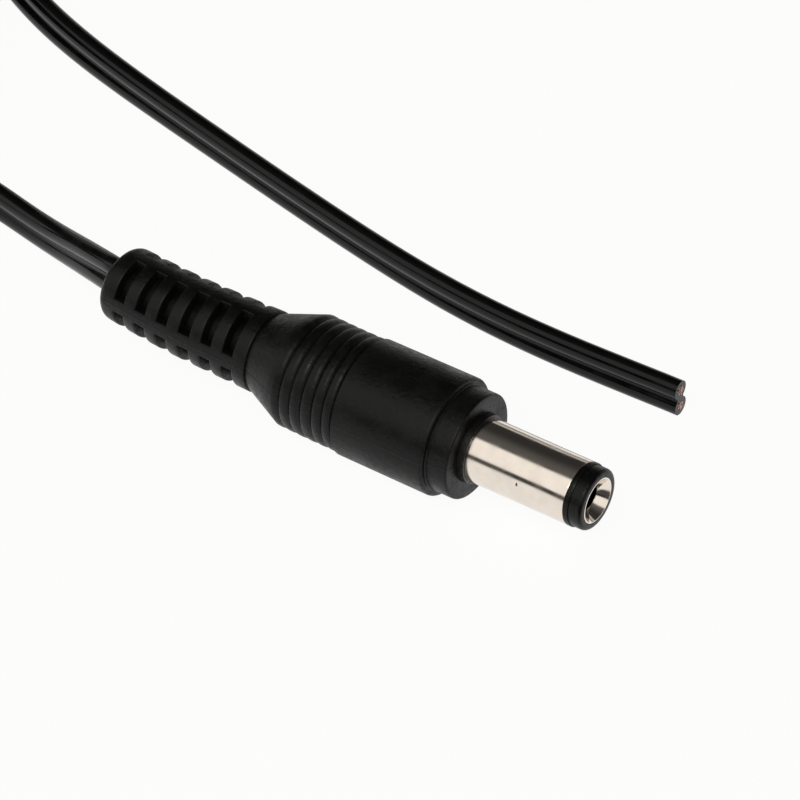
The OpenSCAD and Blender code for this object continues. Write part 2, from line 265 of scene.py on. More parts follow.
@dataclass(frozen=True)
class MouldedPVC(Finish):
    """Black flexible PVC as it comes from the mould, with its parting line."""

    colour: Triple = (0.0032, 0.0032, 0.003)
    bloom: Triple = (0.0062, 0.0061, 0.0057)
    rough: float = 0.38
    sheen: float = 0.2
    seam: bool = False
    seam_half: float = 0.05
    seam_front: float = -16.0
    crack_half: float = 0.06
    crack_reach: tuple[float, float] = (2.9, 4.25)

    def paint(self, graph: Graph) -> None:
        """Build fine grain, scuffs, a faint bloom and the parting line.

        Args:
            graph: the material's graph.
        """
        where = graph.place()
        grain = graph.noise(where, 2300.0, 4.0, 0.6)
        cloud = graph.noise(where, 420.0, 3.0, 0.6)
        scuffs = graph.noise(graph.stretched(where, (260.0, 1500.0, 1500.0)), 1.0, 4.0, 0.7)
        scuffed = scuffs.ramp(0.6, 0.72)
        dust = graph.noise(where, 2600.0, 2.0).ramp(0.68, 0.76)
        colour = graph.mix(cloud.ramp(0.35, 0.75), self.colour, self.bloom)
        colour = graph.mix(dust * 0.12 + scuffed * 0.14, colour, (0.05, 0.049, 0.045))
        rough = cloud.ramp(0.3, 0.7, self.rough - 0.06, self.rough + 0.06) + scuffed * 0.1
        rough = rough + (grain - 0.5) * 0.35
        normal = graph.bump(grain * 0.6 + cloud * 0.4, 0.00007)
        if self.seam:
            line, crack = self.parting(graph, where)
            normal = graph.bump(0.5 + line * 0.5 - crack * 0.5, 0.00006, normal=normal)
            colour = graph.mix(crack, colour, (0.001, 0.001, 0.001))
        graph.surface(
            Base_Color=colour, Roughness=rough, Normal=normal, IOR=1.5, Specular_IOR_Level=self.sheen
        )

    def parting(self, graph: Graph, where: Value) -> tuple[Value, Value]:
        """Where the two halves of the mould met.

        Args:
            graph: the material's graph.
            where: the coordinates.

        Returns:
            Masks of the raised line at the rear and of the open line beside it and on the collar.
        """
        x, y, z = graph.split(where)
        wander = (graph.noise(where, 700.0) - 0.5) * (0.06 * MM)
        height = abs(z + wander)
        half = self.seam_half * MM
        behind = x.ramp((self.seam_front - 0.6) * MM, self.seam_front * MM, 1.0, 0.3)
        line = height.ramp(half, half * 1.8, 1.0, 0.0) * behind
        open_line = height.ramp(half * 0.25, half * 0.6, 1.0, 0.0) * behind
        near, far = (r * MM for r in self.crack_reach)
        width = self.crack_half * MM
        reach = (y * -1.0).ramp(near, near + 0.1 * MM) * (y * -1.0).ramp(far - 0.4 * MM, far, 1.0, 0.0)
        crack = height.ramp(width * 0.4, width * 1.2, 1.0, 0.0) * x.ramp(-0.3 * MM, -0.1 * MM) * reach
        return line, crack + open_line * 0.8


@dataclass(frozen=True)
class Plated(Finish):
    """Nickel plate over turned brass, with faint turning lines, a small pit and painted shade deep in a
    bore.
    """

    colour: Triple = (0.87, 0.785, 0.695)
    rough: float = 0.13
    pit_at: Triple | None = None
    pit_size: Triple = (0.11, 0.2, 0.2)
    # painted shade: the bore's wall deeper than this place, in mm, is painted near black
    bore_shade_from: float | None = None
    bore_edge: tuple[float, float] = (1.27, 1.36)

    def paint(self, graph: Graph) -> None:
        """Build the turned, plated surface.

        Args:
            graph: the material's graph.
        """
        where = graph.place()
        turned = graph.noise(graph.stretched(where, (9000.0, 300.0, 300.0)), 1.0, 2.0)
        cloud = graph.noise(where, 700.0, 2.0)
        rough = cloud.ramp(0.3, 0.75, self.rough - 0.03, self.rough + 0.06)
        colour: Value | tuple = graph.mix(
            cloud.ramp(0.3, 0.8), self.colour, tuple(c * 0.93 for c in self.colour)
        )
        normal = graph.bump(turned, 0.0000012)
        if self.pit_at:
            x, y, z = graph.split(where)
            px, py, pz = (c * MM for c in self.pit_at)
            sx, sy, sz = (c * MM for c in self.pit_size)
            away = ((x - px) / sx) ** 2.0 + ((y - py) / sy) ** 2.0 + ((z - pz) / sz) ** 2.0
            ragged = away + graph.noise(where, 9000.0, 2.0) * 1.2
            mask = ragged.ramp(0.9, 1.7, 1.0, 0.0)
            colour = graph.mix(mask, colour, (0.09, 0.06, 0.045))
            rough = rough + mask * 0.35
        # painted shade: inside the bore and deeper than its mouth the metal is painted near black
        if self.bore_shade_from:
            x, y, z = graph.split(where)
            inner, outer = ((r * MM) ** 2 for r in self.bore_edge)
            inside = (y * y + z * z).ramp(inner, outer, 1.0, 0.0)
            deep = x.ramp((self.bore_shade_from - 0.2) * MM, self.bore_shade_from * MM, 1.0, 0.0)
            colour = graph.mix(inside * deep, colour, (0.012, 0.01, 0.009))
        graph.surface(Base_Color=colour, Metallic=1.0, Roughness=rough, Normal=normal)


@dataclass(frozen=True)
class Copper(Finish):
    """Bare drawn copper wire."""

    colour: Triple = (0.58, 0.40, 0.33)
    dull: Triple = (0.25, 0.155, 0.12)
    rough: float = 0.38

    def paint(self, graph: Graph) -> None:
        """Build clean copper with duller patches.

        Args:
            graph: the material's graph.
        """
        where = graph.place()
        cloud = graph.noise(where, 2500.0, 3.0)
        colour = graph.mix(cloud.ramp(0.35, 0.7), self.colour, self.dull)
        rough = cloud.ramp(0.3, 0.7, self.rough, self.rough + 0.15)
        normal = graph.bump(graph.noise(where, 12000.0), 0.000006)
        graph.surface(Base_Color=colour, Metallic=1.0, Roughness=rough, Normal=normal)


@dataclass(frozen=True)
class Solder(Finish):
    """Tin solder, dull where it froze."""

    colour: Triple = (0.62, 0.62, 0.63)

    def paint(self, graph: Graph) -> None:
        """Build the frozen surface.

        Args:
            graph: the material's graph.
        """
        where = graph.place()
        frost = graph.noise(where, 4000.0, 4.0, 0.65)
        colour = graph.mix(frost.ramp(0.3, 0.7), self.colour, tuple(c * 0.7 for c in self.colour))
        normal = graph.bump(frost, 0.00002)
        rough = frost.ramp(0.3, 0.7, 0.25, 0.5)
        graph.surface(Base_Color=colour, Metallic=1.0, Roughness=rough, Normal=normal)


@dataclass(frozen=True)
class Terminal(Finish):
    """Stamped brass, tinned and then handled."""

    colour: Triple = (0.66, 0.61, 0.48)

    def paint(self, graph: Graph) -> None:
        """Build the stamped sheet.

        Args:
            graph: the material's graph.
        """
        where = graph.place()
        smear = graph.noise(graph.stretched(where, (400.0, 3000.0, 3000.0)), 1.0, 3.0)
        colour = graph.mix(smear.ramp(0.3, 0.7), self.colour, tuple(c * 0.75 for c in self.colour))
        rough = smear.ramp(0.3, 0.7, 0.28, 0.45)
        normal = graph.bump(smear, 0.000006)
        graph.surface(Base_Color=colour, Metallic=1.0, Roughness=rough, Normal=normal)


@dataclass(frozen=True)
class Jacket(Finish):
    """Extruded black PVC of the lead, drawn smooth along its length."""

    colour: Triple = (0.0025, 0.0025, 0.0025)
    rough: float = 0.16

    def paint(self, graph: Graph) -> None:
        """Build the drawn surface.

        Args:
            graph: the material's graph.
        """
        where = graph.place()
        cloud = graph.noise(where, 500.0, 3.0)
        fine = graph.noise(where, 5200.0, 2.0)
        colour = graph.mix(cloud.ramp(0.3, 0.8), self.colour, tuple(c * 1.5 for c in self.colour))
        rough = cloud.ramp(0.3, 0.7, self.rough - 0.05, self.rough + 0.07)
        normal = graph.bump(cloud * 0.5 + fine * 0.5, 0.000004)
        graph.surface(Base_Color=colour, Roughness=rough, Normal=normal, IOR=1.5, Specular_IOR_Level=0.24)


class Look(Enum):
    """The finishes that the plug and its lead wear."""

    MOULDING = MouldedPVC("moulding_pvc", seam=True)
    INNER = MouldedPVC(
        "inner_pvc", colour=(0.006, 0.0058, 0.005), bloom=(0.009, 0.0086, 0.0075), sheen=0.5
    )
    SLEEVE = Plated("plated_sleeve", pit_at=(5.5, -2.735, 0.29))
    # the centre contact's bore gets painted shade from 10.7 mm inwards
    CENTRE = Plated("plated_centre", rough=0.12, bore_shade_from=10.7)
    INSULATOR = MouldedPVC(
        "insulator_black", colour=(0.003, 0.003, 0.0028), bloom=(0.005, 0.005, 0.005), rough=0.3
    )
    TERMINAL = Terminal("tinned_brass")
    JACKET = Jacket("lead_jacket")
    COPPER = Copper("bare_copper")
    SOLDER = Solder("tin_solder")


# ---- Mesh helpers ----


def eased_share(share: float) -> float:
    """Ease a share of a way, so that it starts and ends slowly."""
    return share * share * (3.0 - 2.0 * share)


def arc(centre: Point, radius: float, start: float, end: float, steps: int) -> list[Point]:
    """Points of an arc.

    Args:
        centre: its centre.
        radius: its radius.
        start: first angle, in degrees.
        end: last angle, in degrees.
        steps: how many chords.

    Returns:
        The points in order.
    """
    angles = (math.radians(start + (end - start) * i / steps) for i in range(steps + 1))
    return [(centre[0] + radius * math.cos(a), centre[1] + radius * math.sin(a)) for a in angles]


def lathe(outline: Sequence[Point], steps: int) -> bmesh.types.BMesh:
    """Turn an outline about the X axis.

    Args:
        outline: points of axial place and radius, in millimetres.
        steps: how many faces go round.

    Returns:
        The closed surface, in metres.
    """
    bm = bmesh.new()
    side = Vector((0.0, 1.0, 0.0))
    verts = [bm.verts.new(Vector((x, 0.0, 0.0)) * MM + side * (r * MM)) for x, r in outline]
    edges = [bm.edges.new(pair) for pair in zip(verts, verts[1:])]
    bmesh.ops.spin(
        bm,
        geom=verts + edges,
        cent=(0.0, 0.0, 0.0),
        axis=(1.0, 0.0, 0.0),
        angle=2.0 * math.pi,
        steps=steps,
        use_merge=True,
    )
    bmesh.ops.remove_doubles(bm, verts=bm.verts, dist=1e-7)
    bmesh.ops.recalc_face_normals(bm, faces=bm.faces)
    return bm


def finished(bm: bmesh.types.BMesh, name: str, sharp: float = 32.0) -> bpy.types.Object:
    """Make an object of a bmesh, smooth but for its sharp edges.

    Args:
        bm: the shape, which is freed.
        name: the object's name.
        sharp: edges that turn by more than this many degrees stay sharp.

    Returns:
        The new object, in the scene.
    """
    bm.normal_update()
    limit = math.radians(sharp)
    for face in bm.faces:
        face.smooth = True
    for edge in bm.edges:
        if len(edge.link_faces) == 2:
            edge.smooth = edge.calc_face_angle(0.0) < limit
    mesh = bpy.data.meshes.new(name)
    bm.to_mesh(mesh)
    bm.free()
    made = bpy.data.objects.new(name, mesh)
    bpy.context.scene.collection.objects.link(made)
    return made


def fitted(piece: bpy.types.Object, look: Look, slot: str, *nodes: str) -> bpy.types.Object:
    """Dress a piece, let it ride and stand for its CAD nodes.

    Args:
        piece: the piece.
        look: its finish.
        slot: a material slot's name; not used.
        nodes: the CAD nodes that it stands for.

    Returns:
        The piece.
    """
    look.value.dress(piece)
    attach(piece, "root")
    if nodes:
        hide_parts(*nodes)
    LOG.info("%s: %d faces, finish %s", piece.name, len(piece.data.polygons), look.value.name)
    return piece


# ---- Camera, floor and light ----


@dataclass(frozen=True)
class Band:
    """A band of the light tent, by degrees up from the front of the table."""

    rise: float
    full: float
    fade: float
    end: float
    level: float
    rest: float = 0.0

    def light(self, turn: Value) -> Value:
        """Light of the band, which past its end stays at its rest level."""
        return turn.ramp(self.rise, self.full) * turn.ramp(self.fade, self.end, self.level, self.rest)


@dataclass
class Studio:
    """A pale table in a light tent, with the camera above and to the right."""

    azimuth: float = 30.04187
    elevation: float = 34.07157
    roll: float = 5.94799
    distance: float = 1000.0
    lens: float = 564.75
    sensor: float = 36.0
    aim: Triple = (-6.5014, -1.7290, 2.5437)
    table_z: float = -5.1
    table_half: float = 2500.0
    paper_glow: float = 0.93
    paper_light: float = 1.02
    front_fade: Point = (-56.0, -22.0)
    # painted reflection: a patch of the paper by the tip, in mm, that goes this much darker in reflections
    # only
    reflected_dark_x: Point = (12.5, 15.5)
    reflected_dark_y: Point = (-5.0, -2.5)
    reflected_dark_level: float = 0.93
    front_band: Band = Band(3.0, 10.0, 60.0, 70.0, 0.98)
    roof_band: Band = Band(60.0, 70.0, 75.0, 120.0, 0.07)
    back_band: Band = Band(149.0, 155.0, 160.0, 164.0, 0.5, 0.15)
    foot_band: Band = Band(169.0, 172.0, 175.0, 180.0, 0.7, 0.7)
    dim_level: float = 0.03
    lamp_at: Triple = (150.0, -420.0, 420.0)
    lamp_aim: Triple = (-15.0, 5.0, 0.0)
    lamp_size: float = 160.0
    lamp_power: float = 0.7
    lamp_colour: Triple = (1.0, 0.98, 0.95)

    def camera(self) -> None:
        """Make the camera and set it as the scene's."""
        a, e, t = (math.radians(v) for v in (self.azimuth, self.elevation, self.roll))
        back = Vector((math.sin(a) * math.cos(e), -math.cos(a) * math.cos(e), math.sin(e)))
        level = Vector((math.cos(a), math.sin(a), 0.0))
        upright = back.cross(level)
        right = level * math.cos(t) + upright * math.sin(t)
        up = upright * math.cos(t) - level * math.sin(t)
        data = bpy.data.cameras.new("camera")
        data.sensor_width = self.sensor
        data.lens = self.lens
        data.clip_start, data.clip_end = 0.05, 20.0
        made = bpy.data.objects.new("camera", data)
        bpy.context.scene.collection.objects.link(made)
        where = (Vector(self.aim) + back * self.distance) * MM
        turn = Matrix((right, up, back)).transposed().to_4x4()
        made.matrix_world = Matrix.Translation(where) @ turn
        bpy.context.scene.camera = made

    def table(self) -> None:
        """Lay the white table top."""
        bm = bmesh.new()
        bmesh.ops.create_grid(bm, x_segments=1, y_segments=1, size=self.table_half * MM)
        bmesh.ops.translate(bm, verts=bm.verts, vec=(0.0, 0.0, self.table_z * MM))
        made = finished(bm, "table_top")
        paper = bpy.data.materials.new("table_paper")
        self.paint_paper(Graph(paper))
        made.data.materials.append(paper)

    def paint_paper(self, graph: Graph) -> None:
        """Build white paper, which looks lit through, goes dark in front in reflections and has a painted
        dark reflection in a small patch by the tip.

        Args:
            graph: the paper's graph.
        """
        where = graph.place()
        tooth = graph.mix(graph.noise(where, 60.0), (0.9, 0.9, 0.9), (0.92, 0.92, 0.92))
        paper = graph.node("ShaderNodeBsdfDiffuse", {"Color": tooth})
        x, y, _ = graph.split(where)
        dark, pale, right_from, right_to, near, far = (
            edge * MM for edge in (*self.front_fade, *self.reflected_dark_x, *self.reflected_dark_y)
        )
        front = y.ramp(dark, pale, 0.05, 0.9)
        # painted reflection: the patch by the tip is dimmed in what glossy rays see
        painted_dark_reflection = x.ramp(right_from, right_to) * y.ramp(near, far, 1.0, 0.0)
        camera = graph.node("ShaderNodeLightPath", output="Is Camera Ray")
        glossy = graph.node("ShaderNodeLightPath", output="Is Glossy Ray")
        clear = graph.node("ShaderNodeLightPath", output="Is Transmission Ray")
        level = camera + clear + glossy * front * (1.0 - painted_dark_reflection * self.reflected_dark_level)
        light = {"Color": (1.0, 0.998, 0.994, 1.0), "Strength": level * self.paper_light}
        glow = graph.node("ShaderNodeEmission", light)
        share = camera * self.paper_glow + clear * self.paper_glow + glossy
        both = graph.node("ShaderNodeMixShader", {0: share, 1: paper, 2: glow})
        graph.node("ShaderNodeOutputMaterial", {"Surface": both})

    def tent(self) -> None:
        """Light the scene from a tent: bright in front, dim overhead, pale behind."""
        world = bpy.data.worlds.new("tent")
        bpy.context.scene.world = world
        graph = Graph(world)
        _, y, z = graph.split(graph.node("ShaderNodeTexCoord", output="Generated"))
        front = graph.node("ShaderNodeMath", {0: z, 1: y * -1.0}, operation="ARCTAN2")
        turn = front * (180.0 / math.pi)
        level = self.front_band.light(turn) + self.dim_level
        for band in (self.roof_band, self.back_band, self.foot_band):
            level = level + band.light(turn)
        seen = graph.node("ShaderNodeLightPath", output="Is Camera Ray")
        strength = level * (1.0 - seen) + seen
        shade = graph.node("ShaderNodeBackground", {"Color": (1.0, 0.985, 0.96, 1.0), "Strength": strength})
        graph.node("ShaderNodeOutputWorld", {"Surface": shade})

    def lamp(self) -> None:
        """Hang one soft square lamp that faces the plug."""
        data = bpy.data.lights.new("key", "AREA")
        data.shape = "SQUARE"
        data.size = self.lamp_size * MM
        data.energy = self.lamp_power
        data.color = self.lamp_colour
        made = bpy.data.objects.new("key", data)
        bpy.context.scene.collection.objects.link(made)
        place = Vector(self.lamp_at) * MM
        turn = (Vector(self.lamp_aim) * MM - place).to_track_quat("-Z", "Y")
        made.matrix_world = Matrix.Translation(place) @ turn.to_matrix().to_4x4()

    def set_up(self) -> None:
        """Make the camera, the table and the light."""
        self.camera()
        self.table()
        self.tent()
        self.lamp()
        bpy.context.scene.view_settings.view_transform = "Standard"
        LOG.info("studio: camera, table and lamp")


# ---- The lead ----


@dataclass
class Lead:
    """The figure-8 twin lead, from the strain relief through its coil to the cut end.

    The two routes list x, y, lift off the table and lean.  Merge, climb and leave are the
    stretches of the coil, in degrees, on which it joins, changes layer and lets go.
    """

    core: float = 1.7
    pitch: float = 1.7
    web: float = 0.9
    wire_r: float = 0.092
    wire_rings: tuple[tuple[int, float], ...] = ((1, 0.0), (6, 2.0), (12, 3.75))
    wire_len: float = 1.0
    bundle: float = 4.3
    floor: float = -5.1
    coil_at: Point = (-94.0, 18.0)
    coil_mid: float = 20.0
    columns: int = 6
    turns: int = 11
    turn_gap: float = 0.05
    turn_step: float = 5.0
    merge: float = 100.0
    climb: float = 60.0
    leave: float = 80.0
    gap: float = 0.8
    passes: tuple[int, int] = (40, 60)
    shared: int = 4
    start: tuple[Point, ...] = ((-34.0, 0.86), (-35.0, 0.98), (-36.6, 1.5))
    lead_route: tuple[Station, ...] = (
        (-38.4, 2.4, 2.8, 5.0), (-41.0, 4.1, 1.8, 9.0), (-44.0, 5.8, 0.7, 12.5),
        (-47.5, 7.1, 0.1, 14.0), (-52.2, 8.6, 0.0, 12.0), (-57.0, 9.5, 0.0, 7.0),
        (-62.0, 8.9, 0.0, 3.0), (-66.5, 6.6, 0.0, 0.0), (-70.5, 3.2, 0.0, 0.0),
        (-75.0, -0.9, 0.0, 0.0), (-80.0, -4.8, 0.0, 0.0), (-85.0, -7.3, 0.0, 0.0),
        (-90.0, -8.5, 0.0, 0.0),
    )
    tail_route: tuple[Station, ...] = (
        (-90.0, 44.5, 3.4, 0.0), (-84.0, 43.4, 2.8, 0.0), (-78.5, 40.9, 1.8, 0.0),
        (-73.0, 37.8, 0.8, 1.5), (-67.0, 34.7, 0.1, 5.0), (-60.5, 32.2, 0.0, 9.0),
        (-54.0, 30.2, 0.0, 13.0), (-47.5, 28.5, 0.0, 16.0), (-41.0, 26.8, 0.0, 17.5),
        (-34.5, 25.15, 0.0, 17.5), (-28.4, 23.65, 0.0, 17.5), (-22.4, 22.3, 0.0, 17.0),
        (-16.8, 21.25, 0.0, 15.5), (-11.5, 20.7, 0.0, 14.0), (-6.5, 20.5, 0.0, 13.0),
        (-1.8, 20.65, 0.0, 12.0), (2.4, 20.9, 0.0, 10.5), (6.35, 21.05, 0.0, 10.5),
    )
    path: list[Triple] = field(default_factory=list)

    def height(self, lift: float, lean: float) -> float:
        """Height of the lead's middle, from its lift off the table and its lean in degrees."""
        return self.floor + self.core / 2 + self.pitch / 2 * math.cos(math.radians(lean)) + lift

    def coil_stations(self) -> list[Station]:
        """Middle of the lead through the coil, two layers deep.

        Returns:
            Stations of x, y, height and lean.
        """
        step = self.core + self.turn_gap
        outer = self.coil_mid + (self.columns - 1) / 2 * step
        inner = self.coil_mid - (self.columns - 1) / 2 * step
        low = self.height(self.turn_gap / 2, 0.0)
        high = low + self.core + self.pitch + self.turn_gap
        middle = Vector(self.coil_at)
        begin, end = (Vector(s[:2]) - middle for s in (self.lead_route[-1], self.tail_route[0]))
        first, last = (math.degrees(math.atan2(p.y, p.x)) for p in (begin, end))
        total = self.turns * 360.0 + first - last
        spread = (total - self.merge - self.climb - self.leave) / 2
        knots = (
            (0.0, begin.length, low),
            (self.merge, outer, low),
            (self.merge + spread, inner, low),
            (self.merge + spread + self.climb, inner, high),
            (total - self.leave, outer, high),
            (total, end.length, self.height(self.tail_route[0][2], 0.0)),
        )
        stations = []
        count = int(total / self.turn_step)
        for i in range(1, count):
            turned = total * i / count
            for (a, ra, za), (b, rb, zb) in zip(knots, knots[1:]):
                if a <= turned <= b:
                    part = (turned - a) / (b - a)
                    even = part if b - a > 360.0 else eased_share(part)
                    radius, z = ra + (rb - ra) * even, za + (zb - za) * even
                    break
            angle = math.radians(first - turned)
            x = self.coil_at[0] + radius * math.cos(angle)
            y = self.coil_at[1] + radius * math.sin(angle)
            stations.append((x, y, z, 0.0))
        return stations

    @staticmethod
    def smooth(knots: Sequence[Station], gap: float) -> list[Station]:
        """Run a smooth curve through stations.

        Args:
            knots: stations of x, y, height and lean.
            gap: about how far apart the new ones are.

        Returns:
            The closer stations, the last knot included.
        """
        points = [Vector(k) for k in knots]
        ends = [points[0] * 2 - points[1], *points, points[-1] * 2 - points[-2]]
        run = []
        for p0, p1, p2, p3 in zip(ends, ends[1:], ends[2:], ends[3:]):
            span = (p2 - p1).xyz.length
            d0 = max((p1 - p0).xyz.length, 1e-6) ** 0.5
            d1 = max(span, 1e-6) ** 0.5
            d2 = max((p3 - p2).xyz.length, 1e-6) ** 0.5
            slope1 = ((p1 - p0) / d0 - (p2 - p0) / (d0 + d1) + (p2 - p1) / d1) * d1
            slope2 = ((p2 - p1) / d1 - (p3 - p1) / (d1 + d2) + (p3 - p2) / d2) * d1
            steps = max(1, round(span / gap))
            for i in range(steps):
                t = i / steps
                run.append(
                    p1 * (2 * t**3 - 3 * t**2 + 1)
                    + slope1 * (t**3 - 2 * t**2 + t)
                    + p2 * (3 * t**2 - 2 * t**3)
                    + slope2 * (t**3 - t**2)
                )
        run.append(points[-1])
        return [tuple(p) for p in run]

    @staticmethod
    def eased(run: list[Station], passes: int) -> list[Station]:
        """Ease the turns of a run, whose three stations at each end stay.

        Args:
            run: the stations.
            passes: how many times each is drawn to its neighbours.

        Returns:
            The eased stations.
        """
        points = [Vector(p) for p in run]
        for _ in range(passes):
            inner = [(a + b * 2.0 + c) / 4.0 for a, b, c in zip(points[2:], points[3:-3], points[4:])]
            points[3:-3] = inner[: len(points) - 6]
        return [tuple(p) for p in points]

    def stations(self) -> list[Station]:
        """All stations of the lead, from the relief to its cut end.

        Returns:
            Stations of x, y, height and lean.
        """
        front = [(x, y, 0.0, 0.0) for x, y in self.start]
        front += [(x, y, self.height(lift, lean), lean) for x, y, lift, lean in self.lead_route]
        back = [(x, y, self.height(lift, lean), lean) for x, y, lift, lean in self.tail_route]
        coil = self.coil_stations()
        head = self.eased(self.smooth(front + coil[:1], self.gap), self.passes[0])
        tail = self.eased(self.smooth(coil[-self.shared :] + back, self.gap), self.passes[1])
        run = head[:-1] + coil[: -self.shared] + tail
        return [(x, y, max(z, self.height(0.0, lean)), lean) for x, y, z, lean in run]

    def profile(self) -> list[Point]:
        """Outline of the two cores and their web, as across and up.

        Returns:
            The outline's points, in order round it.
        """
        r, half = self.core / 2, self.pitch / 2
        valley = math.degrees(math.asin(self.web / 2 / r))
        upper = arc((0.0, half), r, -90.0 + valley, 270.0 - valley, 18)
        lower = arc((0.0, -half), r, 90.0 + valley, 450.0 - valley, 18)
        return upper + lower

    @staticmethod
    def axes(ahead: Vector, lean: float) -> tuple[Vector, Vector]:
        """Directions of the lead's section.

        Args:
            ahead: the way that the lead runs.
            lean: how far its upper core leans, in degrees.

        Returns:
            Across the section, and up through its two cores.
        """
        flat = Vector((ahead.y, -ahead.x, 0.0)).normalized()
        upright = flat.cross(ahead).normalized()
        turn = math.radians(lean)
        up = upright * math.cos(turn) + flat * math.copysign(math.sin(turn), ahead.x)
        return ahead.cross(up), up

    def sweep(self) -> bmesh.types.BMesh:
        """Draw the profile along the stations.

        Returns:
            The closed surface, in metres.
        """
        stations = self.stations()
        middles = [Vector(s[:3]) for s in stations]
        bm = bmesh.new()
        outline = self.profile()
        frames = []
        for i, middle in enumerate(middles):
            ahead = (middles[min(i + 1, len(middles) - 1)] - middles[max(i - 1, 0)]).normalized()
            frames.append((middle, *self.axes(ahead, stations[i][3])))
        middle, across, up = frames[0]
        first = [bm.verts.new((middle + across * a + up * b) * MM) for a, b in outline]
        edges = [bm.edges.new((v, first[(j + 1) % len(first)])) for j, v in enumerate(first)]
        ring = first
        for middle, across, up in frames[1:]:
            grown = bmesh.ops.extrude_edge_only(bm, edges=edges)["geom"]
            follow = {}
            for vert in (g for g in grown if isinstance(g, bmesh.types.BMVert)):
                for edge in vert.link_edges:
                    other = edge.other_vert(vert)
                    if other in ring:
                        follow[other] = vert
            ring = [follow[v] for v in ring]
            for vert, (a, b) in zip(ring, outline):
                vert.co = (middle + across * a + up * b) * MM
            edges = [g for g in grown if isinstance(g, bmesh.types.BMEdge)]
        bm.faces.new(first)
        bm.faces.new(ring)
        bmesh.ops.recalc_face_normals(bm, faces=bm.faces)
        self.path = [tuple(m * MM) for m in middles]
        return bm

    def length(self) -> float:
        """Length of the lead outside the plug, in metres."""
        points = [Vector(p) for p in self.path]
        return sum((b - a).length for a, b in zip(points, points[1:]))

    def rod(self, bm: bmesh.types.BMesh, radius: float, at: Vector, turn: Matrix, sides: int) -> None:
        """Add a short rod.

        Args:
            bm: the mesh that takes it.
            radius: its radius.
            at: the place of its middle.
            turn: the turn that points it.
            sides: how many sides it has.
        """
        r, depth = radius * MM, self.wire_len * MM
        made = bmesh.ops.create_cone(bm, cap_ends=True, segments=sides, radius1=r, radius2=r, depth=depth)
        bmesh.ops.transform(bm, matrix=Matrix.Translation(at * MM) @ turn, verts=made["verts"])

    def strands(self, side: int) -> bpy.types.Object:
        """Bundle of wires in one core's cut end.

        Args:
            side: 1 for the upper core, -1 for the lower.

        Returns:
            The bundle.
        """
        end, before = (Vector(p) / MM for p in (self.path[-1], self.path[-3]))
        ahead = (end - before).normalized()
        across, up = self.axes(ahead, self.tail_route[-1][3])
        middle = end + up * (side * self.pitch / 2)
        bm = bmesh.new()
        turn = Matrix((across, up, ahead)).transposed().to_4x4()
        half, inset = self.wire_len / 2, 0.005
        self.rod(bm, self.bundle * self.wire_r, middle - ahead * (half - inset), turn, 24)
        spots = [
            (reach * self.wire_r, 2.0 * math.pi * i / count)
            for count, reach in self.wire_rings
            for i in range(count)
        ]
        for i, (reach, angle) in enumerate(spots):
            proud = 0.03 + 0.05 * math.sin(i * 2.4 + side)
            spot = across * (reach * math.cos(angle)) + up * (reach * math.sin(angle))
            self.rod(bm, self.wire_r, middle + spot + ahead * (proud - half), turn, 8)
        bmesh.ops.recalc_face_normals(bm, faces=bm.faces)
        return finished(bm, "strands_up" if side > 0 else "strands_low")

    def build(self) -> None:
        piece = finished(self.sweep(), "twin_lead", 50.0)
        nodes = ("cable_lead", "cable_coil", "cable_tail", "cable_end")
        fitted(piece, Look.JACKET, "jacket", *nodes)
        wires = [
            fitted(self.strands(side), Look.COPPER, "copper", node)
            for side, node in ((1, "strands_upper"), (-1, "strands_lower"))
        ]
        LOG.info("twin lead: %.3f m", self.length())


# ---- The plug ----


